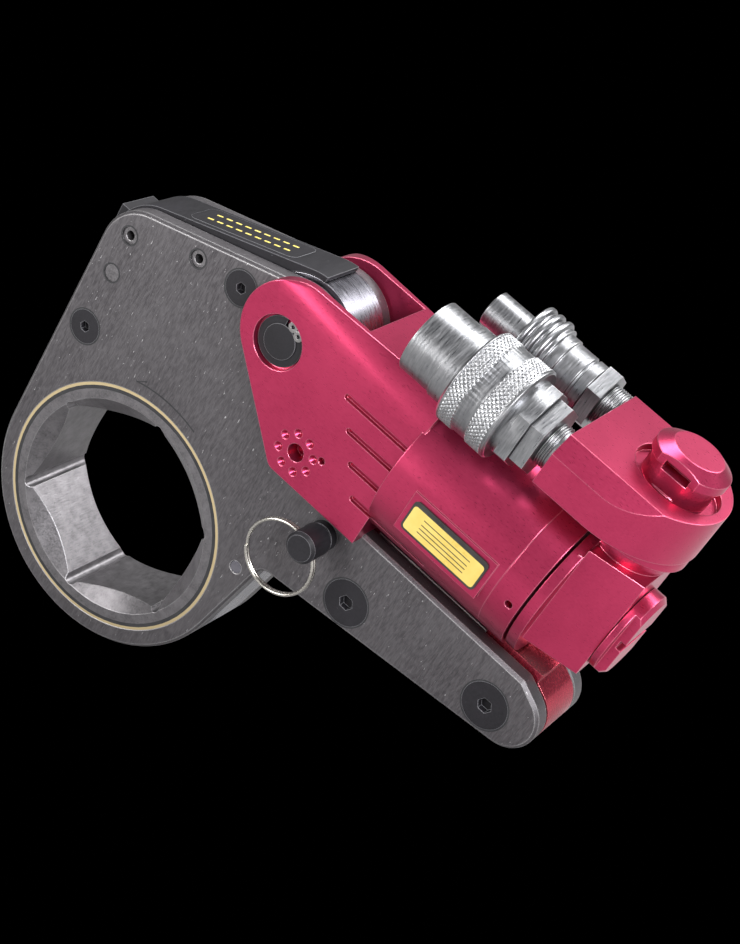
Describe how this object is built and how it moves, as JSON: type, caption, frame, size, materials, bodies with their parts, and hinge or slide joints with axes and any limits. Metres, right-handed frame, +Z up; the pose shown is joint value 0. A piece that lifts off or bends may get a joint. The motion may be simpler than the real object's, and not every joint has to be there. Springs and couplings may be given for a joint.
{
  "type": "hydraulic torque wrench",
  "caption": "Hydraulic torque wrench with a flat ratchet link and hex socket, clevis-mounted cylinder, reaction arm, two-axis swivel manifold and quick couplers.",
  "frame": {"origin": "centre of the hex socket, halfway through the link's thickness", "axes": "+Z up with the wrench standing on its nose and the end of its arm, +X towards the swivels, -Y out of the front face of the link"},
  "size_m": [0.2605, 0.0682, 0.1534],
  "materials": {
    "black_steel": "black oxide, brushed",
    "anodised": "crimson anodised, satin",
    "bright_steel": "zinc plated, turned",
    "ground_steel": "ground",
    "brass": "machined",
    "seal": "matt",
    "label": "printed film",
    "spring_steel": "wire"
  },
  "bodies": {
    "link": {"side_plate_front": "black_steel", "side_plate_rear": "black_steel", "top_shroud": "black_steel", "corner_stop": "black_steel", "frame_spacer": "black_steel", "nose_guard": "black_steel", "lug_core": "ground_steel", "arm_core": "black_steel", "reaction_pad": "anodised", "bush_front": "brass", "bush_rear": "brass", "screws_small": "black_steel", "screws_large": "black_steel", "roll_pins": "black_steel", "dowel_pin": "black_steel", "backstop_pivot": "ground_steel", "head_body": "anodised", "hinge_pin": "black_steel", "circlips": "spring_steel", "label_plate": "label", "end_cap": "anodised", "rod_gland": "brass", "rod_seal": "seal", "swivel_post": "anodised", "swivel_post_seals": "seal"},
    "lever": {"drive_plate_front": "ground_steel", "drive_plate_rear": "ground_steel", "drive_pin": "ground_steel", "spring_bridge": "ground_steel", "drive_pawl_springs": "spring_steel"},
    "ratchet": {"ratchet_wheel": "black_steel"},
    "drive_pawl": {"drive_pawl": "ground_steel"},
    "backstop": {"backstop_pawl": "ground_steel"},
    "piston": {"piston_rod": "ground_steel", "piston": "ground_steel", "piston_seal": "seal", "piston_nut": "ground_steel"},
    "swivel_base": {"swivel_block": "anodised", "manifold_post": "anodised", "manifold_post_seals": "seal"},
    "swivel_head": {"manifold": "anodised", "female_adapter": "bright_steel", "female_body": "bright_steel", "female_spring": "spring_steel", "male_adapter": "bright_steel", "male_body": "bright_steel", "male_spring": "spring_steel"},
    "female_sleeve": {"female_sleeve": "bright_steel"},
    "female_poppet": {"female_poppet": "bright_steel"},
    "male_poppet": {"male_poppet": "bright_steel"},
    "pull_pin": {"pull_pin": "black_steel"},
    "split_ring": {"split_ring": "bright_steel"}
  },
  "joints": [
    {"name": "piston_stroke", "type": "slide", "parent": "link", "child": "piston", "axis": [-0.8425, 0, 0.5388], "range_m": [0, 0.0274]},
    {"name": "lever_swing", "type": "hinge", "parent": "link", "child": "lever", "pos_m": [0, 0, 0], "axis": [0, -1, 0], "range_deg": [0, 20]},
    {"name": "ratchet_turn", "type": "hinge", "parent": "link", "child": "ratchet", "pos_m": [0, 0, 0], "axis": [0, -1, 0], "range_deg": [0, 20]},
    {"name": "drive_pawl_lift", "type": "slide", "parent": "lever", "child": "drive_pawl", "axis": [0.6769, 0, 0.7361], "range_m": [0, 0.0018], "stiffness_N_per_m": 900, "deforming": ["drive_pawl_springs"]},
    {"name": "backstop_lift", "type": "hinge", "parent": "link", "child": "backstop", "pos_m": [0.05056, 0, -0.01097], "axis": [0, 1, 0], "range_deg": [0, 6]},
    {"name": "swivel_along_cylinder", "type": "hinge", "parent": "link", "child": "swivel_base", "pos_m": [0.16114, 0, 0.00437], "axis": [0.8425, 0, -0.5388], "range_deg": [-90, 90]},
    {"name": "swivel_upright", "type": "hinge", "parent": "swivel_base", "child": "swivel_head", "pos_m": [0.18397, 0, 0.02318], "axis": [0.5388, 0, 0.8425], "range_deg": [0, 180]},
    {"name": "female_sleeve_slide", "type": "slide", "parent": "swivel_head", "child": "female_sleeve", "axis": [0.8425, 0, -0.5388], "range_m": [0, 0.002]},
    {"name": "female_poppet_slide", "type": "slide", "parent": "swivel_head", "child": "female_poppet", "axis": [0.8425, 0, -0.5388], "range_m": [0, 0.0025], "stiffness_N_per_m": 600, "deforming": ["female_spring"]},
    {"name": "male_poppet_slide", "type": "slide", "parent": "swivel_head", "child": "male_poppet", "axis": [0.8425, 0, -0.5388], "range_m": [0, 0.0025], "stiffness_N_per_m": 600, "deforming": ["male_spring"]},
    {"name": "pull_pin_slide", "type": "slide", "parent": "link", "child": "pull_pin", "axis": [0, -1, 0], "range_m": [0, 0.033]},
    {"name": "split_ring_swing", "type": "hinge", "parent": "pull_pin", "child": "split_ring", "pos_m": [0.08445, -0.0245, 0.00692], "axis": [-0.5214, 0, 0.8533], "range_deg": [-13, 40]}
  ],
  "couplings": [
    {"joint": "lever_swing", "follows": "piston_stroke", "rad_per_m": 12.74},
    {"joint": "ratchet_turn", "follows": "piston_stroke", "rad_per_m": 12.74}
  ]
}
